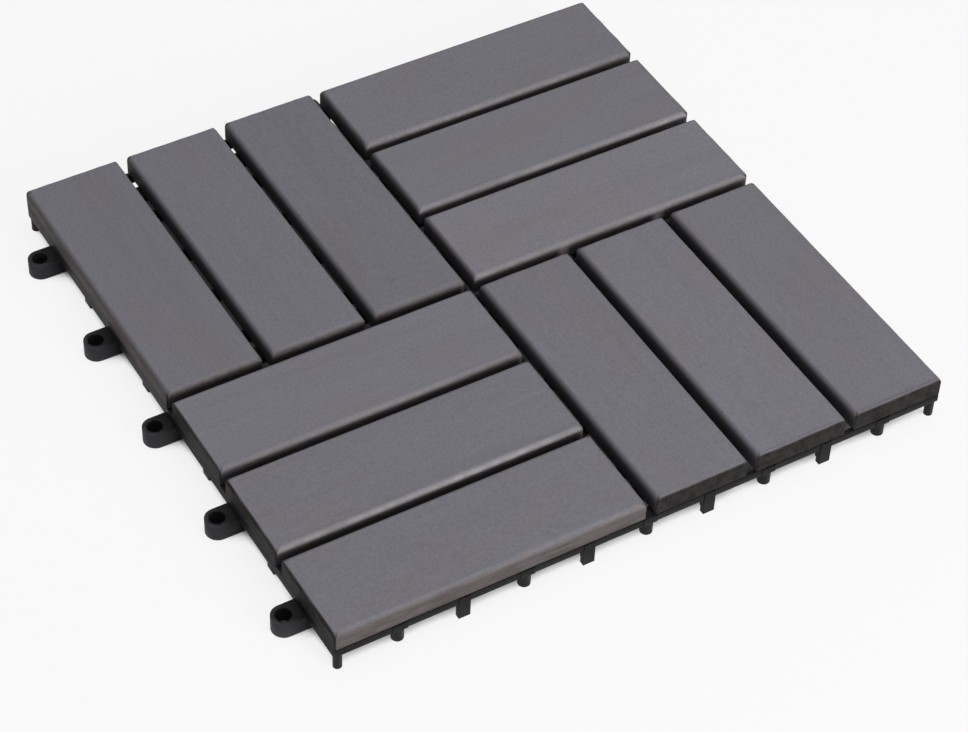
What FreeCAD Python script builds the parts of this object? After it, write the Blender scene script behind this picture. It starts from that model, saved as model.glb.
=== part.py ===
import FreeCAD, Part
import math
import os

import Sketcher

# Interlocking deck tile: twelve timber slats in four quadrants on a moulded open grid.
# The origin is the middle of the tile on the ground, +Z is up, -Y is the front edge.
# Loops stand out of the left (-X) and back (+Y) edges, pins hang inside the right and front edges.

# Driving sizes in millimetres
SIZES = {
    "slat_pitch": 50.0,
    "slat_gap": 4.5,
    "slat_thickness": 10.0,
    "slat_edge_radius": 1.5,
    "base_height": 12.0,
    "base_inset": 0.25,
    "rib_thickness": 2.0,
    "rib_depth": 7.0,
    "rim_thickness": 2.2,
    "rim_depth": 5.0,
    "link_offset": 5.0,
    "link_clearance": 0.3,
    "loop_hole_radius": 3.5,
    "loop_wall": 2.0,
    "loop_height": 7.7,
    "loop_ground_gap": 0.4,
    "loop_root": 5.0,
    "relief_margin": 1.0,
    "pin_radius": 2.8,
    "pin_tip_radius": 1.7,
    "pin_barrel": 6.6,
    "pin_ground_gap": 0.6,
    "pin_block_margin": 0.6,
    "foot_arm": 5.4,
    "foot_plate": 2.6,
    "edge_foot_proud": 0.4,
    "loop_side_foot_inset": 1.7,
    "corner_post_radius": 2.0,
    "corner_post_inset": 0.2,
    "strip_width": 8.0,
    "strip_thickness": 3.0,
    "screw_radius": 1.5,
    "screw_clearance": 0.15,
    "screw_head_radius": 3.0,
    "screw_head_height": 1.8,
    "screw_bite": 6.5,
}

SLATS_PER_QUADRANT = 3
CELLS_PER_SIDE = 10
LINKS_PER_SIDE = 5
QUADRANTS = 4
SHANK_SIDES = 6
HEAD_SIDES = 8
POST_SIDES = 12

doc = FreeCAD.newDocument("deck_tile")
sheet = doc.addObject("Spreadsheet::Sheet", "sizes")
for row, (name, size) in enumerate(SIZES.items(), start=1):
    sheet.set("A%d" % row, name)
    sheet.set("B%d" % row, "%g" % size)
    sheet.setAlias("B%d" % row, name)
doc.recompute()

# Sizes that follow from the driving ones, written as expressions
QUADRANT = "(%d * sizes.slat_pitch)" % SLATS_PER_QUADRANT
SLAT_LENGTH = "(%s - sizes.slat_gap)" % QUADRANT
SLAT_WIDTH = "(sizes.slat_pitch - sizes.slat_gap)"
BASE_HALF = "(%s - sizes.slat_gap / 2 - sizes.base_inset)" % QUADRANT
CELL = "(2 * %s / %d)" % (BASE_HALF, CELLS_PER_SIDE)
LINK_SPAN = "(%d * 2 * %s)" % (LINKS_PER_SIDE - 1, CELL)
RIB_FOOT = "(sizes.base_height - sizes.rib_depth)"
STRIP_FOOT = "(sizes.base_height - sizes.strip_thickness)"
LOOP_RADIUS = "(sizes.loop_hole_radius + sizes.loop_wall)"
LOOP_TOP = "(sizes.loop_ground_gap + sizes.loop_height)"
LOOP_CENTRE = "(%s + sizes.link_offset)" % QUADRANT
PIN_CENTRE = "(%s - sizes.link_offset)" % QUADRANT
RELIEF_HEIGHT = "(%s + sizes.link_clearance)" % LOOP_TOP
RELIEF_EDGE = "(%s - %s - sizes.relief_margin)" % (PIN_CENTRE, LOOP_RADIUS)
RELIEVED_DEPTH = "(sizes.base_height - %s)" % RELIEF_HEIGHT
EDGE_FACE = "(%s + sizes.edge_foot_proud)" % BASE_HALF
RIM_INNER = "(%s - sizes.rim_thickness)" % BASE_HALF
NEAR_SCREW = "(%s / 2)" % CELL
FAR_SCREW = "(%s * %g)" % (CELL, CELLS_PER_SIDE / 2 - 0.5)
RIM_MIDDLE = "(%s - sizes.rim_thickness / 2)" % BASE_HALF
SLAT_MIDDLE = "-(%d + 0.5) * sizes.slat_pitch"


def number(expression):
    """The value in millimetres that an expression has now."""
    return float(sheet.evalExpression(str(expression)))


def origin_item(body, role):
    """One of the body's own origin planes or axes."""
    return next(item for item in body.Origin.OriginFeatures if item.Role == role)


def new_body(name):
    """An empty body with a label of its own, which may hold several loose solids."""
    body = doc.addObject("PartDesign::Body", name)
    body.Label = name
    body.AllowCompound = True
    return body


def join(name, shapes):
    """Shapes that overlap, made into one piece of material."""
    fusion = doc.addObject("Part::MultiFuse", name)
    fusion.Label = name
    fusion.Shapes = shapes
    fusion.Refine = True
    return fusion


def new_sketch(body, name, height="0", role="XY_Plane"):
    """A sketch on an origin plane of the body, moved along the plane's normal."""
    sketch = body.newObject("Sketcher::SketchObject", name)
    sketch.AttachmentSupport = [(origin_item(body, role), "")]
    sketch.MapMode = "FlatFace"
    sketch.setExpression("AttachmentOffset.Base.z", height)
    return sketch


def bind(sketch, constraint, expression):
    """Add a dimension that follows an expression."""
    index = sketch.addConstraint(constraint)
    sketch.setExpression("Constraints[%d]" % index, expression)


def place_point(sketch, geometry, point, x, y):
    """Hold a point of the sketch at two expressions."""
    bind(sketch, Sketcher.Constraint("DistanceX", geometry, point, number(x)), x)
    bind(sketch, Sketcher.Constraint("DistanceY", geometry, point, number(y)), y)


def add_polygon(sketch, corners):
    """A closed outline through corners that are pairs of expressions."""
    points = [FreeCAD.Vector(number(x), number(y), 0) for x, y in corners]
    first = sketch.GeometryCount
    count = len(points)
    for i in range(count):
        sketch.addGeometry(Part.LineSegment(points[i], points[(i + 1) % count]), False)
    for i in range(count):
        following = first + (i + 1) % count
        sketch.addConstraint(Sketcher.Constraint("Coincident", first + i, 2, following, 1))
        place_point(sketch, first + i, 1, *corners[i])


def add_rectangle(sketch, left, right, low, high):
    """A closed rectangle between four expressions."""
    add_polygon(sketch, [(left, low), (right, low), (right, high), (left, high)])


def add_regular(sketch, x, y, radius, sides):
    """A closed outline with equal flat sides, whose corners lie on a circle."""
    corners = []
    for i in range(sides):
        turn = 2 * math.pi * (i + 0.5) / sides
        corners.append(
            (
                "%s + %.6f * (%s)" % (x, math.cos(turn), radius),
                "%s + %.6f * (%s)" % (y, math.sin(turn), radius),
            )
        )
    add_polygon(sketch, corners)


def add_circle(sketch, x, y, radius):
    """A circle held at its centre and radius."""
    centre = FreeCAD.Vector(number(x), number(y), 0)
    axis = FreeCAD.Vector(0, 0, 1)
    index = sketch.addGeometry(Part.Circle(centre, axis, number(radius)), False)
    bind(sketch, Sketcher.Constraint("Radius", index, number(radius)), radius)
    place_point(sketch, index, 3, x, y)


def pad(body, sketch, name, length, downwards=True):
    """Grow a sketch into material."""
    feature = body.newObject("PartDesign::Pad", name)
    feature.Profile = sketch
    feature.Reversed = downwards
    feature.setExpression("Length", length)
    body.Tip = feature
    return feature


def revolve(body, sketch, name):
    """Turn a sketch about its first line, which is the axis."""
    feature = body.newObject("PartDesign::Revolution", name)
    feature.Profile = sketch
    feature.ReferenceAxis = (sketch, ["Edge1"])
    feature.Angle = 360.0
    body.Tip = feature
    doc.recompute()
    return feature


def pocket(body, sketch, name, length, upwards=False):
    """Cut a sketch out of the material, and make sure that it cuts."""
    doc.recompute()
    before = body.Shape.Volume
    feature = body.newObject("PartDesign::Pocket", name)
    feature.Profile = sketch
    feature.Reversed = upwards
    feature.setExpression("Length", length)
    body.Tip = feature
    doc.recompute()
    if body.Shape.Volume >= before:
        raise RuntimeError("%s cuts nothing" % name)
    return feature


def along(body, name, originals, role, length, count):
    """Copies of features in equal steps along an axis of the origin."""
    steps = body.newObject("PartDesign::LinearPattern", name)
    steps.Originals = originals
    steps.Direction = (origin_item(body, role), [""])
    steps.setExpression("Length", length)
    steps.Occurrences = count
    body.Tip = steps
    return steps


def grid_of(body, name, originals, length, count):
    """Copies of features in a square grid over the tile."""
    steps = along(body, name, originals, "X_Axis", length, count)
    steps.Direction2 = (origin_item(body, "Y_Axis"), [""])
    steps.setExpression("Length2", length)
    steps.Occurrences2 = count
    return steps


def around(body, name, originals, angle, count):
    """Copies of features in equal turns about the vertical axis."""
    turn = body.newObject("PartDesign::PolarPattern", name)
    turn.Originals = originals
    turn.Axis = (origin_item(body, "Z_Axis"), [""])
    turn.Angle = angle
    turn.Occurrences = count
    body.Tip = turn
    return turn


def edge_rows(body, name, originals):
    """Copies of a link in a row along its edge and then in the same row of the edge to its left."""
    steps = body.newObject("PartDesign::LinearPattern", name + "_row")
    steps.Direction = (origin_item(body, "X_Axis"), [""])
    steps.setExpression("Length", LINK_SPAN)
    steps.Occurrences = LINKS_PER_SIDE
    turn = body.newObject("PartDesign::PolarPattern", name + "_turn")
    turn.Axis = (origin_item(body, "Z_Axis"), [""])
    turn.Angle = 90.0
    turn.Occurrences = 2
    both = body.newObject("PartDesign::MultiTransform", name)
    both.Originals = originals
    both.Transformations = [steps, turn]
    body.Tip = both
    return both


def slat(name, place, turns):
    """One timber slat with eased top edges and two blind pilot holes.

    It is drawn along Y at the middle of its own frame and stands on its underside. place counts
    slats from the tile's edge, and turns are the quarter turns from the back left quadrant.
    """
    body = new_body(name)
    outline = new_sketch(body, name + "_outline")
    half_width = "%s / 2" % SLAT_WIDTH
    half_length = "%s / 2" % SLAT_LENGTH
    add_rectangle(outline, "-" + half_width, half_width, "-" + half_length, half_length)
    board = pad(body, outline, name + "_board", "sizes.slat_thickness", downwards=False)
    doc.recompute()

    # Two pilot holes in the underside, above the screw strips of the grid
    holes = new_sketch(body, name + "_pilots")
    for row in (NEAR_SCREW, FAR_SCREW):
        forward = "(%s - %s / 2)" % (row, QUADRANT)
        add_regular(holes, "0", forward, "sizes.screw_radius", SHANK_SIDES)
    pilots = pocket(body, holes, name + "_pilot_holes", "sizes.screw_bite", upwards=True)

    # Rounded edges all round the walking face
    top = board.Shape.BoundBox.ZMax
    edges = []
    for i, edge in enumerate(pilots.Shape.Edges, start=1):
        if edge.BoundBox.ZMin > top - 1e-4:
            edges.append("Edge%d" % i)
    easing = body.newObject("PartDesign::Fillet", name + "_easing")
    easing.Base = (pilots, edges)
    easing.setExpression("Radius", "sizes.slat_edge_radius")
    body.Tip = easing

    # The slat's seat on the grid
    across = "-(%s - (%d + 0.5) * sizes.slat_pitch)" % (QUADRANT, place)
    forward = "%s / 2" % QUADRANT
    cosine = (1, 0, -1, 0)[turns % QUADRANTS]
    sine = (0, 1, 0, -1)[turns % QUADRANTS]
    body.Placement = FreeCAD.Placement(
        FreeCAD.Vector(), FreeCAD.Rotation(FreeCAD.Vector(0, 0, 1), 90.0 * turns)
    )
    x = "%d * (%s) - %d * (%s)" % (cosine, across, sine, forward)
    y = "%d * (%s) + %d * (%s)" % (sine, across, cosine, forward)
    body.setExpression("Placement.Base.x", x)
    body.setExpression("Placement.Base.y", y)
    body.setExpression("Placement.Base.z", "sizes.base_height")
    return body


def grid_rim():
    """The rim, shallow along the front and right where the next tile's loops pass under it."""
    body = new_body("grid_rim")
    ring = new_sketch(body, "rim_outline", "sizes.base_height")
    add_rectangle(ring, "-" + BASE_HALF, BASE_HALF, "-" + BASE_HALF, BASE_HALF)
    add_rectangle(ring, "-" + RIM_INNER, RIM_INNER, "-" + RIM_INNER, RIM_INNER)
    pad(body, ring, "rim", RELIEVED_DEPTH)
    deep = new_sketch(body, "deep_rim_outline", "sizes.base_height")
    corners = [
        ("-" + BASE_HALF, "-" + BASE_HALF),
        ("-" + RIM_INNER, "-" + BASE_HALF),
        ("-" + RIM_INNER, RIM_INNER),
        (BASE_HALF, RIM_INNER),
        (BASE_HALF, BASE_HALF),
        ("-" + BASE_HALF, BASE_HALF),
    ]
    add_polygon(deep, corners)
    pad(body, deep, "deep_rim", "sizes.rim_depth")
    return body


def grid_ribs(name, role, notched_end):
    """One way of the crossing ribs, each notched at the end where the next tile's loops go.

    notched_end is 1 where the notch lies at the far end of the sketch and -1 at its near end.
    """
    body = new_body(name)
    first = "%d * %s" % (CELLS_PER_SIDE / 2 - 1, CELL)
    across = "X_Axis" if role == "YZ_Plane" else "Y_Axis"
    offset = "-%s - sizes.rib_thickness / 2" % first
    if role == "XZ_Plane":
        offset = "%s - sizes.rib_thickness / 2" % first
    side = new_sketch(body, name + "_side", offset, role=role)
    corners = [
        ("%d * %s" % (-notched_end, RIM_MIDDLE), "sizes.base_height"),
        ("%d * %s" % (-notched_end, RIM_MIDDLE), RIB_FOOT),
        ("%d * %s" % (notched_end, RELIEF_EDGE), RIB_FOOT),
        ("%d * %s" % (notched_end, RELIEF_EDGE), RELIEF_HEIGHT),
        ("%d * %s" % (notched_end, RIM_MIDDLE), RELIEF_HEIGHT),
        ("%d * %s" % (notched_end, RIM_MIDDLE), "sizes.base_height"),
    ]
    add_polygon(side, corners)
    rib = pad(body, side, name + "_first", "sizes.rib_thickness", downwards=False)
    reach = "%d * %s" % (CELLS_PER_SIDE - 2, CELL)
    along(body, name + "_row", [rib], across, reach, CELLS_PER_SIDE - 1)
    return body


def screw_strips():
    """Flat strips across each quadrant that take the screws at both ends of its slats."""
    body = new_body("screw_strips")
    outline = new_sketch(body, "strip_outline", "sizes.base_height")
    holes = new_sketch(body, "screw_hole_outline", "sizes.base_height")
    radius = "sizes.screw_radius + sizes.screw_clearance"
    for row in (NEAR_SCREW, FAR_SCREW):
        low = "%s - sizes.strip_width / 2" % row
        high = "%s + sizes.strip_width / 2" % row
        add_rectangle(outline, "-" + RIM_MIDDLE, "0", low, high)
        for place in range(SLATS_PER_QUADRANT):
            add_regular(holes, SLAT_MIDDLE % place, row, radius, SHANK_SIDES)
    strips = pad(body, outline, "strips", "sizes.strip_thickness")
    bores = pocket(body, holes, "screw_holes", "sizes.strip_thickness")
    around(body, "strip_quadrants", [strips, bores], 360.0, QUADRANTS)
    return body


def tee_outline(sketch, x, turned, face):
    """A tee on an edge: its plate lies along the face and its stem points inwards.

    x is the tee's place along the edge, and face is the distance of its outer face from the
    middle. turned is 1 on the back edge and -1 on the front edge.
    """
    left = "%s - sizes.foot_arm / 2" % x
    right = "%s + sizes.foot_arm / 2" % x
    near = "%s - sizes.rib_thickness / 2" % x
    far = "%s + sizes.rib_thickness / 2" % x
    outer = "%d * %s" % (turned, face)
    inner = "%d * (%s - sizes.foot_plate)" % (turned, face)
    tip = "%d * (%s - sizes.foot_arm)" % (turned, face)
    corners = [(left, outer), (right, outer), (right, inner), (far, inner)]
    corners += [(far, tip), (near, tip), (near, inner), (left, inner)]
    add_polygon(sketch, corners)


def edge_feet():
    """Tee-shaped feet in the rim between the links, and a post in each corner."""
    body = new_body("edge_feet")
    feet = new_sketch(body, "edge_foot_outline", "sizes.base_height")
    for place in (-3, -1, 1, 3):
        x = "%d * %s" % (place, CELL)
        tee_outline(feet, x, -1, EDGE_FACE)
        tee_outline(feet, x, 1, "(%s - sizes.loop_side_foot_inset)" % BASE_HALF)
    foot = pad(body, feet, "feet", "sizes.base_height")
    around(body, "foot_sides", [foot], 90.0, 2)
    post = "-(%s - sizes.corner_post_radius - sizes.corner_post_inset)" % BASE_HALF
    posts = new_sketch(body, "corner_post_outline", "sizes.base_height")
    add_regular(posts, post, post, "sizes.corner_post_radius", POST_SIDES)
    corner = pad(body, posts, "corner_post", "sizes.base_height")
    around(body, "corners", [corner], 360.0, QUADRANTS)
    return body


def inner_feet():
    """Cross-shaped feet under every other meeting of the ribs, one of them in the middle."""
    body = new_body("inner_feet")
    arm = "sizes.foot_arm / 2"
    web = "sizes.rib_thickness / 2"
    corners = []
    for east, north in ((1, 1), (-1, 1), (-1, -1), (1, -1)):
        reach = [(arm, web), (web, web), (web, arm)]
        if east != north:
            reach.reverse()
        for x, y in reach:
            across = "-%s / 2 + %d * %s" % (LINK_SPAN, east, x)
            corners.append((across, "-%s / 2 + %d * %s" % (LINK_SPAN, north, y)))
    outline = new_sketch(body, "foot_outline", RIB_FOOT)
    add_polygon(outline, corners)
    foot = pad(body, outline, "foot", RIB_FOOT)
    grid_of(body, "feet", [foot], LINK_SPAN, LINKS_PER_SIDE)
    return body


def link_pins():
    """Round pins with a tapered end under the front and right edges, each below a square block."""
    body = new_body("link_pins")
    axis = "-%s / 2" % LINK_SPAN
    half = "(sizes.pin_radius + sizes.pin_block_margin)"
    blocks = new_sketch(body, "pin_block_outline", "sizes.base_height")
    back = "-(%s - %s)" % (PIN_CENTRE, half)
    add_rectangle(blocks, "%s - %s" % (axis, half), "%s + %s" % (axis, half), "-" + EDGE_FACE, back)
    block = pad(body, blocks, "pin_block", RELIEVED_DEPTH)
    shape = new_sketch(body, "pin_outline", PIN_CENTRE, role="XZ_Plane")
    barrel_end = "(%s - sizes.pin_barrel)" % RELIEF_HEIGHT
    corners = [
        (axis, "sizes.base_height"),
        (axis, "sizes.pin_ground_gap"),
        ("%s + sizes.pin_tip_radius" % axis, "sizes.pin_ground_gap"),
        ("%s + sizes.pin_radius" % axis, barrel_end),
        ("%s + sizes.pin_radius" % axis, "sizes.base_height"),
    ]
    add_polygon(shape, corners)
    pin = revolve(body, shape, "pin")
    edge_rows(body, "pins", [block, pin])
    return body


def link_loops():
    """Round-ended loops on the back and left edges, each with the hole for a pin."""
    body = new_body("link_loops")
    x = "-%s / 2" % LINK_SPAN
    left = "%s - %s" % (x, LOOP_RADIUS)
    right = "%s + %s" % (x, LOOP_RADIUS)
    root = "(%s - sizes.loop_root)" % BASE_HALF
    shape = new_sketch(body, "loop_outline", LOOP_TOP)
    ends = [(right, LOOP_CENTRE), (right, root), (left, root), (left, LOOP_CENTRE)]
    points = [FreeCAD.Vector(number(a), number(b), 0) for a, b in ends]
    for i in range(3):
        shape.addGeometry(Part.LineSegment(points[i], points[i + 1]), False)
    crown = (points[0] + points[3]) / 2 + FreeCAD.Vector(0, number(LOOP_RADIUS), 0)
    end = shape.addGeometry(Part.Arc(points[0], crown, points[3]), False)
    shape.addConstraint(Sketcher.Constraint("Coincident", 0, 2, 1, 1))
    shape.addConstraint(Sketcher.Constraint("Coincident", 1, 2, 2, 1))
    shape.addConstraint(Sketcher.Constraint("Coincident", end, 1, 0, 1))
    shape.addConstraint(Sketcher.Constraint("Coincident", end, 2, 2, 2))
    for line, point, place in ((0, 1, 0), (1, 1, 1), (2, 1, 2), (2, 2, 3)):
        place_point(shape, line, point, *ends[place])
    centre = Sketcher.Constraint("DistanceY", end, 3, number(LOOP_CENTRE))
    bind(shape, centre, LOOP_CENTRE)
    loop = pad(body, shape, "loop", "sizes.loop_height")
    holes = new_sketch(body, "loop_hole_outline", LOOP_TOP)
    add_circle(holes, x, LOOP_CENTRE, "sizes.loop_hole_radius")
    hole = pocket(body, holes, "loop_hole", "sizes.loop_height")
    edge_rows(body, "loops", [loop, hole])
    return body


def base_grid():
    """The moulded base: rim, ribs, screw strips, feet, pins and loops in one piece."""
    lattice = [
        grid_rim(),
        grid_ribs("cross_ribs", "XZ_Plane", 1),
        grid_ribs("long_ribs", "YZ_Plane", -1),
        screw_strips(),
    ]
    fittings = [edge_feet(), inner_feet(), link_pins(), link_loops()]
    return join("base_grid", lattice + fittings)


def screws():
    """Flat-headed screws up through the strips into the slats, two to a slat."""
    body = new_body("screws")
    x = SLAT_MIDDLE % 0
    heads = new_sketch(body, "screw_head_outline", STRIP_FOOT)
    add_regular(heads, x, NEAR_SCREW, "sizes.screw_head_radius", HEAD_SIDES)
    head = pad(body, heads, "screw_head", "sizes.screw_head_height")
    shanks = new_sketch(body, "screw_shank_outline", STRIP_FOOT)
    add_regular(shanks, x, NEAR_SCREW, "sizes.screw_radius", SHANK_SIDES)
    reach = "sizes.strip_thickness + sizes.screw_bite"
    shank = pad(body, shanks, "screw_shank", reach, downwards=False)
    row = body.newObject("PartDesign::LinearPattern", "screw_row")
    row.Direction = (origin_item(body, "X_Axis"), [""])
    row.Reversed = True
    row.setExpression("Length", "%d * sizes.slat_pitch" % (SLATS_PER_QUADRANT - 1))
    row.Occurrences = SLATS_PER_QUADRANT
    ends = body.newObject("PartDesign::LinearPattern", "screw_ends")
    ends.Direction = (origin_item(body, "Y_Axis"), [""])
    ends.setExpression("Length", "%s - %s" % (FAR_SCREW, NEAR_SCREW))
    ends.Occurrences = 2
    turn = body.newObject("PartDesign::PolarPattern", "screw_quadrants")
    turn.Axis = (origin_item(body, "Z_Axis"), [""])
    turn.Angle = 360.0
    turn.Occurrences = QUADRANTS
    screw_set = body.newObject("PartDesign::MultiTransform", "screw_set")
    screw_set.Originals = [head, shank]
    screw_set.Transformations = [row, ends, turn]
    body.Tip = screw_set
    return body


pieces = [base_grid(), screws()]
for turns, quadrant in enumerate(("back_left", "front_left", "front_right", "back_right")):
    for place in range(SLATS_PER_QUADRANT):
        pieces.append(slat("%s_slat_%d" % (quadrant, place + 1), place, turns))
doc.recompute()

# Every feature has to be sound before anything is written
for item in doc.Objects:
    if "Invalid" in item.State or "Error" in item.State:
        raise RuntimeError("%s failed: %s" % (item.Name, item.State))
os.makedirs("parts", exist_ok=True)
for piece in pieces:
    if piece.Shape.isNull() or not piece.Shape.isValid():
        raise RuntimeError("%s has no sound shape" % piece.Label)
    piece.Shape.exportStep("parts/%s.step" % piece.Label)
    box = piece.Shape.BoundBox
    print(
        "%-20s solids %2d  volume %9.1f  x %.2f..%.2f  y %.2f..%.2f  z %.2f..%.2f"
        % (
            piece.Label,
            len(piece.Shape.Solids),
            piece.Shape.Volume,
            box.XMin,
            box.XMax,
            box.YMin,
            box.YMax,
            box.ZMin,
            box.ZMax,
        )
    )
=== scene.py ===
"""Dressed scene of an interlocking deck tile with grey timber slats on a black moulded grid."""

import logging
import math
from dataclasses import dataclass, field
from enum import Enum

import bmesh
import bpy
import numpy as np
from mathutils import Matrix, Vector


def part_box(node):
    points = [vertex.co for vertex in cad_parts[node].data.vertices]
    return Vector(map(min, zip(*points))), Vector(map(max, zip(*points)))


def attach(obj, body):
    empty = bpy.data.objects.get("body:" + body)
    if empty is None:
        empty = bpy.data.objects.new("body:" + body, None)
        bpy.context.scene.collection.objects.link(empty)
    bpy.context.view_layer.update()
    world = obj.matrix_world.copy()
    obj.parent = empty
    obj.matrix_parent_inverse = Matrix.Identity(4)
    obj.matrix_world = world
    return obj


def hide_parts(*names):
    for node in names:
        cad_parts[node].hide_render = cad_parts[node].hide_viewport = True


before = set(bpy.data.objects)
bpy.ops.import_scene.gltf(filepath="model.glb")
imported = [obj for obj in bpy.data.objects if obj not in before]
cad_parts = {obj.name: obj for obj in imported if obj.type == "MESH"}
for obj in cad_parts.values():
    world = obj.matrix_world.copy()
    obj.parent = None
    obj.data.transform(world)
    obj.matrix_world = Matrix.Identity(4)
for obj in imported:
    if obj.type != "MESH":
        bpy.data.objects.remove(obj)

log = logging.getLogger("deck_tile")
Colour = tuple[float, float, float]
Triple = tuple[float, float, float]

MM = 0.001
QUARTER = math.pi / 2
ROOT = "root"
MERGED_WITHIN = 0.001 * MM
SLATS_PER_QUADRANT = 3

# Each slat's stain lightness, and its edges' abrasion and painted highlight, in building order
SHADES = (0.96, 0.98, 0.94, 1.0, 1.0, 1.04, 1.0, 1.04, 1.0, 1.02, 1.04, 1.12)
WEARS_AND_HIGHLIGHTS = (0.8, 0.8, 0.8, 0.9, 1.3, 0.45, 0.8, 0.8, 0.8, 0.6, 1.25, 0.55)

# The numbers of a Mix node's colour sockets, as its other sockets have the same names
MIX_UNDER, MIX_OVER, MIX_RESULT = 6, 7, 2


class Lie(Enum):
    """The way a slat lies in the tile, as the axis that its length runs along."""

    ALONG_X = 0
    ALONG_Y = 1


class Quadrant(Enum):
    """The four groups of slats, with the lie of the slats in each."""

    BACK_LEFT = ("back_left", Lie.ALONG_Y)
    FRONT_LEFT = ("front_left", Lie.ALONG_X)
    FRONT_RIGHT = ("front_right", Lie.ALONG_Y)
    BACK_RIGHT = ("back_right", Lie.ALONG_X)


def node_mesh(name: str, points: np.ndarray, quads: np.ndarray) -> bpy.types.Mesh:
    """Put whole arrays of points and four-sided faces into a mesh.

    Args:
        name: The name of the new mesh.
        points: Points as rows of x, y, z in metres.
        quads: Faces as rows of four point numbers, anticlockwise from outside.

    Returns:
        The mesh.
    """
    mesh = bpy.data.meshes.new(name)
    mesh.vertices.add(len(points))
    mesh.vertices.foreach_set("co", np.asarray(points, np.float32).ravel())
    mesh.loops.add(quads.size)
    mesh.loops.foreach_set("vertex_index", np.asarray(quads, np.int32).ravel())
    mesh.polygons.add(len(quads))
    mesh.polygons.foreach_set("loop_start", np.arange(0, quads.size, 4, dtype=np.int32))
    mesh.update(calc_edges=True)
    mesh.validate()
    return mesh


def close_seams(mesh: bpy.types.Mesh) -> None:
    """Merge points that lie together and drop faces that have shrunk to nothing.

    Args:
        mesh: The mesh to close.
    """
    work = bmesh.new()
    work.from_mesh(mesh)
    bmesh.ops.remove_doubles(work, verts=work.verts, dist=MERGED_WITHIN)
    bmesh.ops.dissolve_degenerate(work, edges=work.edges, dist=MERGED_WITHIN)
    bmesh.ops.recalc_face_normals(work, faces=work.faces)
    work.to_mesh(mesh)
    work.free()


def smooth(mesh: bpy.types.Mesh) -> None:
    """Shade every face of a mesh smoothly."""
    mesh.polygons.foreach_set("use_smooth", np.ones(len(mesh.polygons), bool))


def ring_faces(rings: int, around: int) -> np.ndarray:
    """Faces between successive closed rings: ring k, place j joins k + 1 and j + 1 (wrapped).

    Args:
        rings: How many rings there are.
        around: How many points each ring has.

    Returns:
        Rows of four point numbers.
    """
    k, j = np.meshgrid(np.arange(rings - 1), np.arange(around), indexing="ij")
    following = (j + 1) % around
    corners = [k * around + j, k * around + following]
    corners += [(k + 1) * around + following, (k + 1) * around + j]
    return np.stack([c.ravel() for c in corners], axis=1)


def paint_points(mesh: bpy.types.Mesh, name: str, values: np.ndarray) -> None:
    """Keep one number for each point of a mesh as an attribute that a finish can read.

    Args:
        mesh: The mesh to paint.
        name: The attribute's name.
        values: One number for each point, in an array of any shape.
    """
    layer = mesh.attributes.new(name, "FLOAT", "POINT")
    layer.data.foreach_set("value", np.asarray(values, np.float32).ravel())


def place_piece(name: str, mesh: bpy.types.Mesh, finish: bpy.types.Material) -> bpy.types.Object:
    """Make a piece of the tile from a mesh that is already in place.

    Args:
        name: The piece's name.
        mesh: Its mesh, in the tile's frame.
        finish: The material that covers it.

    Returns:
        The new object, which rides on the tile.
    """
    mesh.materials.clear()
    mesh.materials.append(finish)
    piece = bpy.data.objects.new(name, mesh)
    bpy.context.scene.collection.objects.link(piece)
    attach(piece, ROOT)
    return piece


@dataclass(frozen=True)
class Noise:
    """A cloudy pattern: clouds to a metre, finer layers, their strength, squeeze on each axis."""

    scale: float
    detail: float
    rough: float = 0.5
    stretch: Triple = (1.0, 1.0, 1.0)


@dataclass(frozen=True)
class Span:
    """What the span low to high of a value becomes: start to end, held at both."""

    low: float
    high: float
    start: float
    end: float


@dataclass(frozen=True)
class Relief:
    """How a value raises a surface: the strength of it, and the height in metres."""

    strength: float
    height: float


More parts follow.
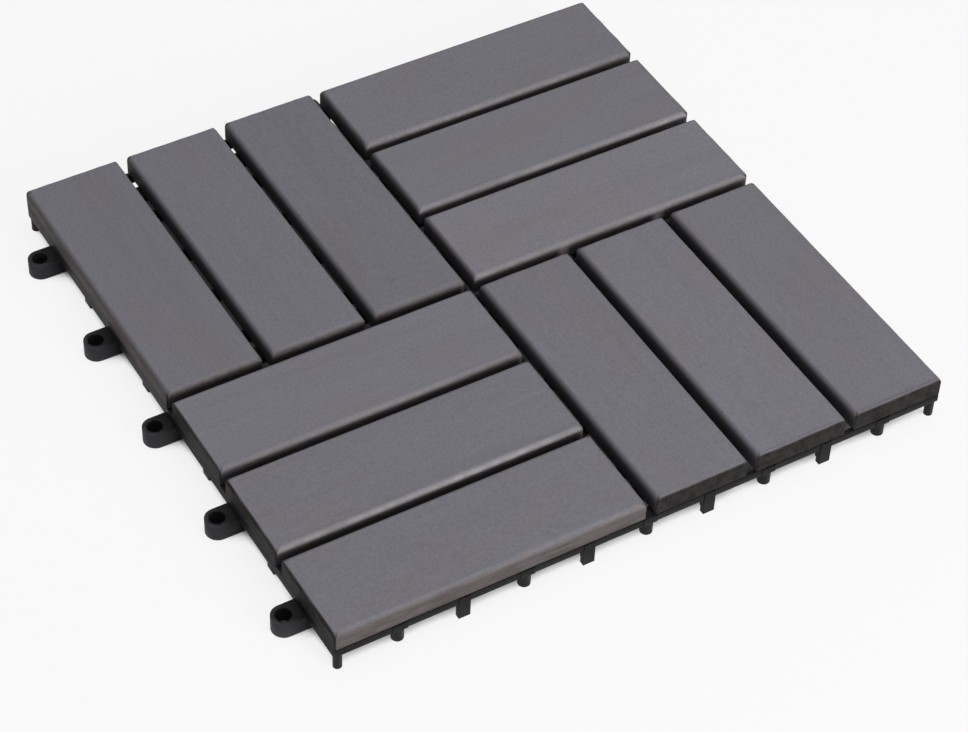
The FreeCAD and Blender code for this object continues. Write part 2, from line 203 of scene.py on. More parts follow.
class Shader:
    """A small hand for wiring a material's nodes."""

    def __init__(self, name: str) -> None:
        """Start a material with an empty node tree.

        Args:
            name: The material's name.
        """
        self.material = bpy.data.materials.new(name)
        self.material.use_nodes = True
        self.tree = self.material.node_tree
        self.tree.nodes.clear()
        self.output = self.tree.nodes.new("ShaderNodeOutputMaterial")

    def node(self, kind: str, **settings: object) -> bpy.types.Node:
        """Add a node and set its plain properties.

        Args:
            kind: The node's type without its common prefix.
            **settings: Properties of the node by name.

        Returns:
            The new node.
        """
        made = self.tree.nodes.new("ShaderNode" + kind)
        for key, value in settings.items():
            setattr(made, key, value)
        return made

    def link(self, source: bpy.types.NodeSocket, target: bpy.types.NodeSocket) -> None:
        """Join an output to an input."""
        self.tree.links.new(source, target)

    def place(self, shift: Triple, turn: float, stretch: Triple) -> bpy.types.NodeSocket:
        """The object's coordinates, turned about the vertical, shifted and then stretched.

        Args:
            shift: The shift in metres.
            turn: The turn in radians.
            stretch: The stretch along each axis.

        Returns:
            The coordinates.
        """
        coordinates = self.node("TexCoord")
        turned = self.node("Mapping")
        turned.inputs["Location"].default_value = shift
        turned.inputs["Rotation"].default_value = (0.0, 0.0, turn)
        stretched = self.node("Mapping")
        stretched.inputs["Scale"].default_value = stretch
        self.link(coordinates.outputs["Object"], turned.inputs["Vector"])
        self.link(turned.outputs["Vector"], stretched.inputs["Vector"])
        return stretched.outputs["Vector"]

    def noise(
        self, pattern: Noise, shift: Triple = (0.0, 0.0, 0.0), turn: float = 0.0
    ) -> bpy.types.NodeSocket:
        """Cloudy noise between nought and one.

        Args:
            pattern: The noise's sizes.
            shift: How far it is shifted over the piece, in metres.
            turn: How far it is turned about the vertical, in radians.

        Returns:
            The noise's value.
        """
        made = self.node("TexNoise")
        made.inputs["Scale"].default_value = pattern.scale
        made.inputs["Detail"].default_value = pattern.detail
        made.inputs["Roughness"].default_value = pattern.rough
        self.link(self.place(shift, turn, pattern.stretch), made.inputs["Vector"])
        return made.outputs["Fac"]

    def spread(self, value: bpy.types.NodeSocket, span: Span) -> bpy.types.NodeSocket:
        """Carry a value over to another span.

        Args:
            value: The number to carry over.
            span: The span it has and the span it gets.

        Returns:
            The new value.
        """
        made = self.node("MapRange")
        made.inputs["From Min"].default_value = span.low
        made.inputs["From Max"].default_value = span.high
        made.inputs["To Min"].default_value = span.start
        made.inputs["To Max"].default_value = span.end
        self.link(value, made.inputs["Value"])
        return made.outputs["Result"]

    def times(
        self, first: bpy.types.NodeSocket, second: bpy.types.NodeSocket | float
    ) -> bpy.types.NodeSocket:
        """Multiply a value by another value or by a plain number.

        Args:
            first: The value.
            second: The other value or the number.

        Returns:
            The product.
        """
        made = self.node("Math", operation="MULTIPLY")
        self.link(first, made.inputs[0])
        if isinstance(second, float):
            made.inputs[1].default_value = second
        else:
            self.link(second, made.inputs[1])
        return made.outputs[0]

    def larger(
        self, first: bpy.types.NodeSocket, second: bpy.types.NodeSocket
    ) -> bpy.types.NodeSocket:
        """Pick the larger of two values.

        Args:
            first: One value.
            second: The other.

        Returns:
            The larger.
        """
        made = self.node("Math", operation="MAXIMUM")
        self.link(first, made.inputs[0])
        self.link(second, made.inputs[1])
        return made.outputs[0]

    def mix(
        self,
        share: bpy.types.NodeSocket,
        under: bpy.types.NodeSocket | Colour,
        over: bpy.types.NodeSocket | Colour,
    ) -> bpy.types.NodeSocket:
        """Lay one colour over another.

        Args:
            share: How much of the upper colour shows.
            under: The lower colour.
            over: The upper colour.

        Returns:
            The mixed colour.
        """
        made = self.node("Mix", data_type="RGBA")
        self.link(share, made.inputs["Factor"])
        for socket, colour in ((made.inputs[MIX_UNDER], under), (made.inputs[MIX_OVER], over)):
            if isinstance(colour, tuple):
                socket.default_value = (*colour, 1.0)
            else:
                self.link(colour, socket)
        return made.outputs[MIX_RESULT]

    def attribute(self, name: str) -> bpy.types.NodeSocket:
        """The number that the points of a piece keep under a name."""
        return self.node("Attribute", attribute_name=name).outputs["Fac"]

    def relief(self, heights: list[tuple[bpy.types.NodeSocket, Relief]]) -> bpy.types.NodeSocket:
        """Raise the surface by several height fields, one after another.

        Args:
            heights: Each a value and how it raises the surface.

        Returns:
            The raised surface's normal.
        """
        normal = None
        for value, raised in heights:
            made = self.node("Bump")
            made.inputs["Strength"].default_value = raised.strength
            made.inputs["Distance"].default_value = raised.height
            self.link(value, made.inputs["Height"])
            if normal is not None:
                self.link(normal, made.inputs["Normal"])
            normal = made.outputs["Normal"]
        return normal

    def pin_side(self) -> bpy.types.NodeSocket:
        """How far a point lies towards the right or front edge.

        Returns:
            The larger of x and -y.
        """
        apart = self.node("SeparateXYZ")
        self.link(self.node("TexCoord").outputs["Object"], apart.inputs["Vector"])
        return self.larger(apart.outputs["X"], self.times(apart.outputs["Y"], -1.0))

    def principled(
        self,
        colour: bpy.types.NodeSocket,
        roughness: bpy.types.NodeSocket,
        normal: bpy.types.NodeSocket,
        gloss: float,
        metallic: float = 0.0,
    ) -> bpy.types.Material:
        """Finish the material.

        Args:
            colour: The surface's colour.
            roughness: Its roughness.
            normal: Its raised normal.
            gloss: The level of its specular light.
            metallic: How much of a metal it is.

        Returns:
            The finished material.
        """
        surface = self.node("BsdfPrincipled")
        surface.inputs["Specular IOR Level"].default_value = gloss
        surface.inputs["Metallic"].default_value = metallic
        self.link(colour, surface.inputs["Base Color"])
        self.link(roughness, surface.inputs["Roughness"])
        self.link(normal, surface.inputs["Normal"])
        self.link(surface.outputs["BSDF"], self.output.inputs["Surface"])
        return self.material


def background_rays(tree: bpy.types.NodeTree) -> bpy.types.NodeSocket:
    """Tell the rays that show the background from those that only light the scene.

    Args:
        tree: The node tree of the floor's material or the world.

    Returns:
        A socket that is 1 for camera, glossy and transmission rays, and 0 otherwise.
    """
    path = tree.nodes.new("ShaderNodeLightPath")
    shown = path.outputs["Is Camera Ray"]
    for kind in ("Is Glossy Ray", "Is Transmission Ray"):
        larger = tree.nodes.new("ShaderNodeMath")
        larger.operation = "MAXIMUM"
        tree.links.new(shown, larger.inputs[0])
        tree.links.new(path.outputs[kind], larger.inputs[1])
        shown = larger.outputs[0]
    return shown


@dataclass(frozen=True)
class StainedTimber:
    """Grey-stained hardwood: matt, fine grain, pores, dark ends, abraded edges with painted
    highlight.
    """

    lie: Lie
    seed: int
    shade: float
    # How far apart two boards' grain is cut, in metres for each step of the seed
    seed_step: Triple = (0.37, 0.53, 0.11)

    face: Colour = (0.186, 0.183, 0.211)
    warm: Colour = (0.186, 0.171, 0.173)
    grain_dark: Colour = (0.121, 0.118, 0.134)
    pale: Colour = (0.229, 0.222, 0.235)
    flank: Colour = (0.052, 0.037, 0.032)
    flank_pale: Colour = (0.098, 0.080, 0.076)
    end: Colour = (0.003, 0.002, 0.002)
    end_pale: Colour = (0.027, 0.023, 0.021)
    # Painted shade of the gaps, on sides that face another slat
    gap_shade: Colour = (0.044, 0.043, 0.050)
    # Painted shadow along the foot of each side, where the slat sits on the rim
    foot_shade: Colour = (0.016, 0.014, 0.015)
    # Pale of abraded edges, and a painted highlight on edges that face the front
    worn_and_highlight: Colour = (0.46, 0.445, 0.475)

    clouds: Noise = Noise(18.0, 3.0, stretch=(1.0, 2.2, 2.2))
    figure: Noise = Noise(8.0, 6.0, 0.62, (1.0, 14.0, 14.0))
    streaks: Noise = Noise(26.0, 3.0, stretch=(1.0, 14.0, 14.0))
    fibres: Noise = Noise(150.0, 4.0, 0.6, (1.0, 5.0, 5.0))
    mottle: Noise = Noise(820.0, 4.0, 0.7)
    pores: Noise = Noise(420.0, 2.0, stretch=(1.0, 5.0, 5.0))
    saw_marks: Noise = Noise(75.0, 4.0, 0.65, (1.0, 3.0, 9.0))
    rub_and_highlight_patches: Noise = Noise(11.0, 3.0, stretch=(1.0, 2.2, 2.2))
    checks: Noise = Noise(190.0, 4.0, 0.7)

    cloud_share: Span = Span(0.42, 0.66, 0.0, 0.45)
    figure_share: Span = Span(0.48, 0.74, 0.0, 0.24)
    streak_share: Span = Span(0.56, 0.76, 0.0, 0.20)
    mottle_share: Span = Span(0.42, 0.72, 0.0, 0.66)
    fibre_share: Span = Span(0.35, 0.70, 0.0, 0.12)
    pore_share: Span = Span(0.66, 0.80, 0.0, 0.35)
    saw_share: Span = Span(0.36, 0.64, 0.0, 1.0)
    flank_share: float = 0.85
    rub_and_highlight_share: Span = Span(0.38, 0.62, 0.10, 1.0)
    rub_and_highlight_breaks: Span = Span(0.35, 0.60, 1.15, 0.75)
    end_fibre_share: Span = Span(0.35, 0.65, 0.15, 0.85)
    end_check_share: Span = Span(0.46, 0.60, 0.0, 0.9)

    roughness: Span = Span(0.25, 0.75, 0.56, 0.74)
    figure_relief: Relief = Relief(0.2, 0.0004)
    fibre_relief: Relief = Relief(0.3, 0.0002)
    mottle_relief: Relief = Relief(0.3, 0.00012)
    gloss: float = 0.15

    def material(self, name: str) -> bpy.types.Material:
        """Wire the finish for one slat.

        The face's colours lie one over another. Over them come the sawn flanks, the abraded edges
        with their painted highlight, the end grain, the painted shade in the gaps and the painted
        shadow at the foot, each where the board was painted so.

        Args:
            name: The material's name.

        Returns:
            The material.
        """
        s = Shader(name)
        shift = tuple(step * self.seed for step in self.seed_step)
        laid = (shift, -QUARTER * self.lie.value)
        figure = s.noise(self.figure, *laid)
        fibres = s.noise(self.fibres, *laid)
        mottle = s.noise(self.mottle, *laid)
        checks = s.noise(self.checks, *laid)

        tone = self.face
        for value, share, over in (
            (s.noise(self.clouds, *laid), self.cloud_share, self.warm),
            (figure, self.figure_share, self.grain_dark),
            (s.noise(self.streaks, *laid), self.streak_share, self.pale),
            (mottle, self.mottle_share, self.grain_dark),
            (fibres, self.fibre_share, self.grain_dark),
            (s.noise(self.pores, *laid), self.pore_share, self.grain_dark),
        ):
            tone = s.mix(s.spread(value, share), tone, over)

        saw_marks = s.spread(s.noise(self.saw_marks, *laid), self.saw_share)
        flank = s.mix(saw_marks, self.flank, self.flank_pale)
        tone = s.mix(s.times(s.attribute("flank"), self.flank_share), tone, flank)

        # Abrasion and painted highlight: pale where the eased edges were painted, broken along
        # their length
        rub_and_highlight_patches = s.spread(s.noise(self.rub_and_highlight_patches, *laid), self.rub_and_highlight_share)
        rub_and_highlight = s.times(s.attribute("edge_wear_and_highlight"), rub_and_highlight_patches)
        rub_and_highlight = s.times(rub_and_highlight, s.spread(checks, self.rub_and_highlight_breaks))
        tone = s.mix(rub_and_highlight, tone, self.worn_and_highlight)

        end_grain = s.mix(s.spread(fibres, self.end_fibre_share), self.end, self.end_pale)
        end_grain = s.mix(s.spread(checks, self.end_check_share), end_grain, self.end)
        tone = s.mix(s.attribute("end_grain"), tone, end_grain)
        # Painted shade down the sides that face another slat
        tone = s.mix(s.attribute("painted_gap_shade"), tone, self.gap_shade)
        # Painted shadow along the foot of each side
        tone = s.mix(s.attribute("painted_foot_shade"), tone, self.foot_shade)

        shade = s.node("HueSaturation")
        shade.inputs["Value"].default_value = self.shade
        s.link(tone, shade.inputs["Color"])
        roughness = s.spread(fibres, self.roughness)
        normal = s.relief([
            (figure, self.figure_relief),
            (fibres, self.fibre_relief),
            (mottle, self.mottle_relief),
        ])
        return s.principled(shade.outputs["Color"], roughness, normal, self.gloss)


@dataclass(frozen=True)
class MouldedPlastic:
    """Black moulded plastic with a fine spark-eroded skin, flow clouds, and loops lighter from
    scuffs and painted light.
    """

    colour: Colour = (0.006, 0.006, 0.0065)
    bloom: Colour = (0.012, 0.0115, 0.012)
    # Lighter colour of the loops, partly scuffs and partly painted light
    scuffed_and_lit: Colour = (0.040, 0.038, 0.045)
    clouds: Noise = Noise(28.0, 4.0)
    skin: Noise = Noise(2600.0, 2.0)
    dust: Noise = Noise(700.0, 4.0, 0.7)
    cloud_share: Span = Span(0.35, 0.7, 0.0, 0.8)
    dust_share: Span = Span(0.6, 0.8, 0.0, 0.35)
    scuff_and_light_share: float = 0.85
    roughness: Span = Span(0.3, 0.7, 0.44, 0.58)
    skin_relief: Relief = Relief(0.35, 0.00008)
    dust_relief: Relief = Relief(0.15, 0.0001)
    gloss: float = 0.11

    def material(self, name: str) -> bpy.types.Material:
        """Wire the finish.

        Args:
            name: The material's name.

        Returns:
            The material.
        """
        s = Shader(name)
        clouds, skin, dust = (s.noise(pattern) for pattern in (self.clouds, self.skin, self.dust))
        tone = s.mix(s.spread(clouds, self.cloud_share), self.colour, self.bloom)
        tone = s.mix(s.spread(dust, self.dust_share), tone, self.bloom)
        # Scuffs and painted light: the loops, standing out from under the slats, are lighter than
        # the shaded rim
        tone = s.mix(s.times(s.attribute("wear_and_light"), self.scuff_and_light_share), tone, self.scuffed_and_lit)
        roughness = s.spread(clouds, self.roughness)
        normal = s.relief([(skin, self.skin_relief), (dust, self.dust_relief)])
        return s.principled(tone, roughness, normal, self.gloss)


@dataclass(frozen=True)
class DullZinc:
    """Dull zinc plating on the screws."""

    colour: Colour = (0.50, 0.50, 0.51)
    stain: Colour = (0.30, 0.29, 0.28)
    spots: Noise = Noise(600.0, 4.0, 0.6)
    stain_share: Span = Span(0.4, 0.75, 0.0, 0.8)
    roughness: Span = Span(0.3, 0.7, 0.32, 0.5)
    spot_relief: Relief = Relief(0.2, 0.00005)
    gloss: float = 0.5
    metallic: float = 0.9

    def material(self, name: str) -> bpy.types.Material:
        """Wire the finish.

        Args:
            name: The material's name.

        Returns:
            The material.
        """
        s = Shader(name)
        spots = s.noise(self.spots)
        tone = s.mix(s.spread(spots, self.stain_share), self.colour, self.stain)
        roughness = s.spread(spots, self.roughness)
        normal = s.relief([(spots, self.spot_relief)])
        return s.principled(tone, roughness, normal, self.gloss, self.metallic)


@dataclass(frozen=True)
class PalePaper:
    """The pale floor: nearly white to the camera, with a painted shadow where the tile covers it.

    Past the rim on the pin sides it is nearly white as well, as painted light, however close the
    tile is.
    """

    colour: Colour = (0.80, 0.80, 0.80)
    seen: Colour = (0.985, 0.985, 0.987)
    shadow_share: float = 0.14
    cover_reach: float = 35 * MM
    cover_samples: int = 16
    open_light: Span = Span(0.19, 0.38, 0.02, 1.0)
    rim_light: Span = Span(0.1395, 0.1455, 0.0, 1.0)

    def material(self, name: str) -> bpy.types.Material:
        """Wire the finish.

        Args:
            name: The material's name.

        Returns:
            The material.
        """
        s = Shader(name)
        matt = s.node("BsdfDiffuse")
        matt.inputs["Color"].default_value = (*self.colour, 1.0)
        glow = s.node("Emission")
        glow.inputs["Color"].default_value = (*self.seen, 1.0)
        # Painted shadow: the camera's glow dims with ambient occlusion under the tile, lifted as
        # painted light past the rim on the pin sides
        cover = s.node("AmbientOcclusion", samples=self.cover_samples)
        cover.inputs["Distance"].default_value = self.cover_reach
        in_the_open = s.spread(cover.outputs["AO"], self.open_light)
        lit = s.larger(in_the_open, s.spread(s.pin_side(), self.rim_light))
        s.link(lit, glow.inputs["Strength"])
        blend = s.node("MixShader")
        blend.inputs["Fac"].default_value = self.shadow_share
        s.link(glow.outputs["Emission"], blend.inputs[1])
        s.link(matt.outputs["BSDF"], blend.inputs[2])
        choose = s.node("MixShader")
        s.link(background_rays(s.tree), choose.inputs["Fac"])
        s.link(matt.outputs["BSDF"], choose.inputs[1])
        s.link(blend.outputs["Shader"], choose.inputs[2])
        s.link(choose.outputs["Shader"], s.output.inputs["Surface"])
        return s.material


@dataclass
class RoundedOutline:
    """The plan of a board: a rectangle with rounded corners, as one ring of points.

    A point is sign * (half size - inset - radius) + radius * direction on each axis. The signs
    run from -1 to 1 along the straight sides and the directions turn only in the corners.
    """

    half_length: float
    half_width: float
    along: int = 72
    across: int = 24
    corner: int = 6
    signs: np.ndarray = field(init=False)
    directions: np.ndarray = field(init=False)

    def __post_init__(self) -> None:
        """Lay out the signs and directions of the ring, anticlockwise from the first corner."""
        signs, directions = [], []
        corners = ((1.0, 1.0), (-1.0, 1.0), (-1.0, -1.0), (1.0, -1.0))
        for i, here in enumerate(corners):
            following = corners[(i + 1) % len(corners)]
            turn = np.linspace(0.0, QUARTER, self.corner + 1) + i * QUARTER
            signs.append(np.tile(here, (self.corner + 1, 1)))
            directions.append(np.stack([np.cos(turn), np.sin(turn)], axis=1))
            count = self.along if i % 2 == 0 else self.across
            step = np.linspace(0.0, 1.0, count + 1)[1:-1, None]
            signs.append((1 - step) * np.array(here) + step * np.array(following))
            directions.append(np.tile((np.cos(turn[-1]), np.sin(turn[-1])), (count - 1, 1)))
        self.signs = np.concatenate(signs)
        self.directions = np.concatenate(directions)

    def rings(self, inset: np.ndarray, radius: np.ndarray) -> np.ndarray:
        """Rings at several insets: sign * (half - inset - radius) + radius * direction.

        Args:
            inset: How far each ring's points lie inside the full outline.
            radius: The corner radius of each ring.

        Returns:
            Points with axes ring, place and coordinate.
        """
        half = np.array([self.half_length, self.half_width])
        reach = half - inset[..., None] - radius[..., None]
        return self.signs * reach + radius[..., None] * self.directions


@dataclass(frozen=True)
class BoardProfile:
    """The rings of a board, from the middle of its underside to the middle of its top.

    For each ring it holds the inset from the outline, the level over the underside, how much the
    ring belongs to the side, how much abrasion and painted highlight it takes, and 1 where it lies
    on the eased edge.
    """

    inset: np.ndarray
    level: np.ndarray
    side: np.ndarray
    wear_and_highlight: np.ndarray
    arc: np.ndarray


@dataclass
class TimberSlat:
    """One slat: a board with eased top edges, slightly uneven from sanding."""

    node: str
    lie: Lie
    seed: int
    shade: float
    wear_and_highlight: float

    easing: float = 2.4 * MM
    end_crispness: float = 0.54
    end_focus: int = 4
    corner_radius: float = 0.9 * MM
    corner_growth: float = 0.5
    foot_chamfer: float = 0.9 * MM
    outer_edge: float = 147.2 * MM
    # Rings of the profile, as shares of the half width or of the foot's chamfer
    under_rings: tuple[float, ...] = (1.0, 0.8, 0.6, 0.4, 0.2, 0.06)
    foot_rings: tuple[float, ...] = (1.0, 0.35, 0.0)
    top_rings: tuple[float, ...] = (0.125, 0.155, 0.21, 0.3, 0.42, 0.56, 0.7, 0.85, 1.0)
    flank_steps: int = 13
    arc_steps: int = 10

    # How sanding leaves the top edge and the top face
    waves: int = 5
    wave_strengths: tuple[float, float] = (0.3, 1.0)
    wave_turns: tuple[int, int] = (2, 17)
    uneven_side: float = 0.10 * MM
    uneven_end: float = 0.26 * MM
    swell_depth: float = 0.06 * MM
    swell_rate: float = 55.0

    # The depths at which the painted shade in the gaps starts and is full, and how a side's facing
    # changes them
    dark_from: float = 1.0 * MM
    dark_to: float = 2.8 * MM
    from_forward: float = 1.6
    from_leftward: float = -0.95
    to_forward: float = 2.0
    to_leftward: float = 1.3
    leftward_softness: float = 0.5

    # How much painted light lifts left sides that stay open below, and how high the painted foot
    # shadow reaches
    open_side_light: float = 0.85
    open_side_loss: float = 0.7
    foot_shade_chamfers: float = 2.0

    # Shares of the end grain's dark and of the edges' abrasion and painted highlight that the
    # sides get
    inner_end_share: float = 0.35
    outer_wear_and_highlight: float = 0.30
    least_wear_and_highlight: float = 0.15
    wear_and_highlight_at_foot: float = 0.3
    wear_and_highlight_growth: float = 1.1
    inner_end_loss: float = 0.7

    def profile(self, height: float, half_width: float) -> BoardProfile:
        """The board's edge from the middle of its underside to the middle of its top.

        It runs in along the underside, round a small chamfer, up the flank, over a quarter circle
        (inset R - R cos a, level H - R + R sin a) and in along the top. The quarter circle's
        abrasion and painted highlight is (1 - sin a) * (foot + growth * sin a), and its share of
        the side is cos a squared.

        Args:
            height: The board's thickness.
            half_width: Half the board's width, where the rings close.

        Returns:
            The rings.
        """
        under = half_width * np.array(self.under_rings)
        foot = self.foot_chamfer * np.array(self.foot_rings)
        shoulder = height - self.easing
        flank = np.linspace(self.foot_chamfer, shoulder, self.flank_steps + 1)[1:-1]
        turn = np.linspace(0.0, QUARTER, self.arc_steps + 1)
        top = half_width * np.array(self.top_rings)
        rise = self.easing * (1 - np.sin(turn))
        # Abrasion and painted highlight, brightest low on the eased edge
        wear_and_highlight = (1 - np.sin(turn)) * (self.wear_and_highlight_at_foot + self.wear_and_highlight_growth * np.sin(turn))
        none = [0 * part for part in (under, foot, flank, turn, top)]
        parts = (
            [under, foot, none[2], self.easing * (1 - np.cos(turn)), top],
            [none[0], self.foot_chamfer - foot, flank, height - rise, none[4] + height],
            [none[0], none[1] + 1, none[2] + 1, np.cos(turn) ** 2, none[4]],
            [*none[:3], wear_and_highlight, none[4]],
            [*none[:3], none[3] + 1, none[4]],
        )
        return BoardProfile(*(np.concatenate(part) for part in parts))

    def laid(self, plan: np.ndarray) -> tuple[np.ndarray, np.ndarray]:
        """Plan points turned to the slat's lie: (x, y) stays, or becomes (-y, x).

        Args:
            plan: Points with the board's length along x.

        Returns:
            Their x and y in the tile's directions, about the slat's middle.
        """
        if self.lie is Lie.ALONG_X:
            return plan[..., 0], plan[..., 1]
        return -plan[..., 1], plan[..., 0]

    def sanding(self, around: int) -> np.ndarray:
        """How uneven sanding leaves the top edge, as the sum of a few waves round the outline.

        A wave is strength * sin(turns * t + phase), and the sum is divided by half their number.

        Args:
            around: How many points the outline has.

        Returns:
            The unevenness at each point, at most about 1.2 either way.
        """
        rng = np.random.default_rng(self.seed)
        strengths = rng.uniform(*self.wave_strengths, self.waves)
        turns = rng.integers(*self.wave_turns, self.waves)[:, None]
        phases = rng.uniform(0, 2 * math.pi, self.waves)[:, None]
        place = np.linspace(0.0, 2 * math.pi, around, endpoint=False)
        return strengths @ np.sin(turns * place + phases) / (self.waves / 2)

    def shape(self, plan: RoundedOutline, rings: BoardProfile, middle: np.ndarray) -> np.ndarray:
        """The board's points, about its middle in plan and over its underside.

        The eased edge is crisper at the tile's outer ends: there its inset and depth are both
        taken times 1 - crispness. Sanding adds to the inset, and the top dips by a slow swell,
        depth * (1 + sin(rate * x + seed)).

        Args:
            plan: The board's outline.
            rings: Its profile.
            middle: The middle of the board in the tile.

        Returns:
            Points with axes ring, place and coordinate.
        """
        height = rings.level[-1]
        endward = plan.directions[:, 0]
        end_share = np.abs(endward) ** self.end_focus
        end_at = middle[self.lie.value] + np.sign(endward) * plan.half_length
        crisp = self.end_crispness * end_share * (np.abs(end_at) > self.outer_edge)
        tighter = 1 - crisp * rings.arc[:, None]

        sanded = self.sanding(len(endward)) * (self.uneven_side + self.uneven_end * end_share)
        upper = rings.wear_and_highlight + rings.side * (rings.level > height / 2)
        inset = rings.inset[:, None] * tighter
        inset = inset + np.clip(upper, 0, 1)[:, None] * np.abs(sanded) * (inset > 0)
        inset = np.minimum(np.clip(inset, 0, None), plan.half_width)
        radius = self.corner_radius + self.corner_growth * inset
        plan_points = plan.rings(inset, np.minimum(radius, plan.half_width - inset))

        swell = self.swell_depth * (1 + np.sin(plan_points[..., 0] * self.swell_rate + self.seed))
        on_top = (rings.level >= height)[:, None]
        z = height - (height - rings.level[:, None]) * tighter - swell * on_top
        return np.stack([*self.laid(plan_points), z], axis=-1)

    def paint(
        self, mesh: bpy.types.Mesh, plan: RoundedOutline, rings: BoardProfile, middle: np.ndarray
    ) -> None:
        """Mark painted shade in the gaps and at the foot, ends, flanks, and abraded edges with
        painted highlight.

        Sides that face another slat get the painted shade of the gaps. It grows with the depth d
        under the top as ((d - start) / (stop - start)) ** power, and both depths and the power
        depend on how far a side faces left or forward. Left sides that are open below get painted
        light again.

        Args:
            mesh: The board's mesh.
            plan: The board's outline.
            rings: Its profile.
            middle: The middle of the board in the tile.
        """
        height = rings.level[-1]
        level, side, wear_and_highlight = rings.level[:, None], rings.side[:, None], rings.wear_and_highlight[:, None]
        outline = plan.rings(np.zeros((1, 1)), np.full((1, 1), self.corner_radius))[0]
        x, y = self.laid(outline)
        inner = np.maximum(np.abs(x + middle[0]), np.abs(y + middle[1])) < self.outer_edge
        leftward, forward = (np.clip(-part, 0, 1) for part in self.laid(plan.directions))
        end = np.clip(2 * np.abs(plan.directions[:, 0]), 0, 1)
        open_side = leftward * (1 - end) * inner

        # Painted shade in the gaps: darker with depth under the top, on sides that face another
        # slat
        down = height - level
        start = 1 + self.from_forward * forward + self.from_leftward * leftward
        start = self.dark_from * start
        stop = self.dark_to * (1 + self.to_forward * forward + self.to_leftward * leftward)
        power = 1 - self.leftward_softness * leftward
        dark = np.clip((down - start) / (stop - start), 0, 1) ** power
        lower = np.clip((down - stop) / (height - stop), 0, 1)
        # Painted light: inner left sides open below lose much of the gaps' painted shade low down
        dark = dark * (1 - self.open_side_light * open_side * lower)
        # Painted shadow at the foot of the sides, reaching higher on left sides
        foot_shade_height = self.foot_chamfer * self.foot_shade_chamfers * (1 + leftward)
        # Abrasion and painted highlight: strongest on inner sides facing the front, weaker outside
        # and at inner ends
        wear_and_light = self.least_wear_and_highlight + (1 - self.least_wear_and_highlight) * forward
        wear_and_light = wear_and_light * np.where(inner, 1.0, self.outer_wear_and_highlight) * self.wear_and_highlight
        wear_and_light = wear_and_light * (1 - self.inner_end_loss * end * inner)

        paint_points(mesh, "painted_gap_shade", dark * inner * (side > 0))
        paint_points(mesh, "painted_foot_shade", np.clip(1 - level / foot_shade_height, 0, 1) * (side > 0))
        paint_points(mesh, "end_grain", side * end * np.where(inner, self.inner_end_share, 1.0))
        # Painted light: inner left sides open below lose much of the flank's darker colour
        paint_points(mesh, "flank", side * (1 - self.open_side_loss * open_side))
        paint_points(mesh, "edge_wear_and_highlight", wear_and_highlight * wear_and_light)

    def build(self) -> bpy.types.Object:
        """Make the board in place of its node.

        Returns:
            The finished piece.
        """
        low, high = (np.array(corner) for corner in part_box(self.node))
        size, middle = high - low, (low + high) / 2
        length, width = (size[0], size[1]) if self.lie is Lie.ALONG_X else (size[1], size[0])
        plan = RoundedOutline(length / 2, width / 2)
        rings = self.profile(size[2], width / 2)
        foot = np.array([middle[0], middle[1], low[2]])
        points = (self.shape(plan, rings, middle) + foot).reshape(-1, 3)
        faces = ring_faces(len(rings.level), len(plan.signs))

        name = self.node + "_board"
        mesh = node_mesh(name, points, faces)
        self.paint(mesh, plan, rings, middle)
        close_seams(mesh)
        smooth(mesh)
        finish = StainedTimber(self.lie, self.seed, self.shade).material(self.node + "_stain")
        piece = place_piece(name, mesh, finish)
        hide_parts(self.node)
        return piece


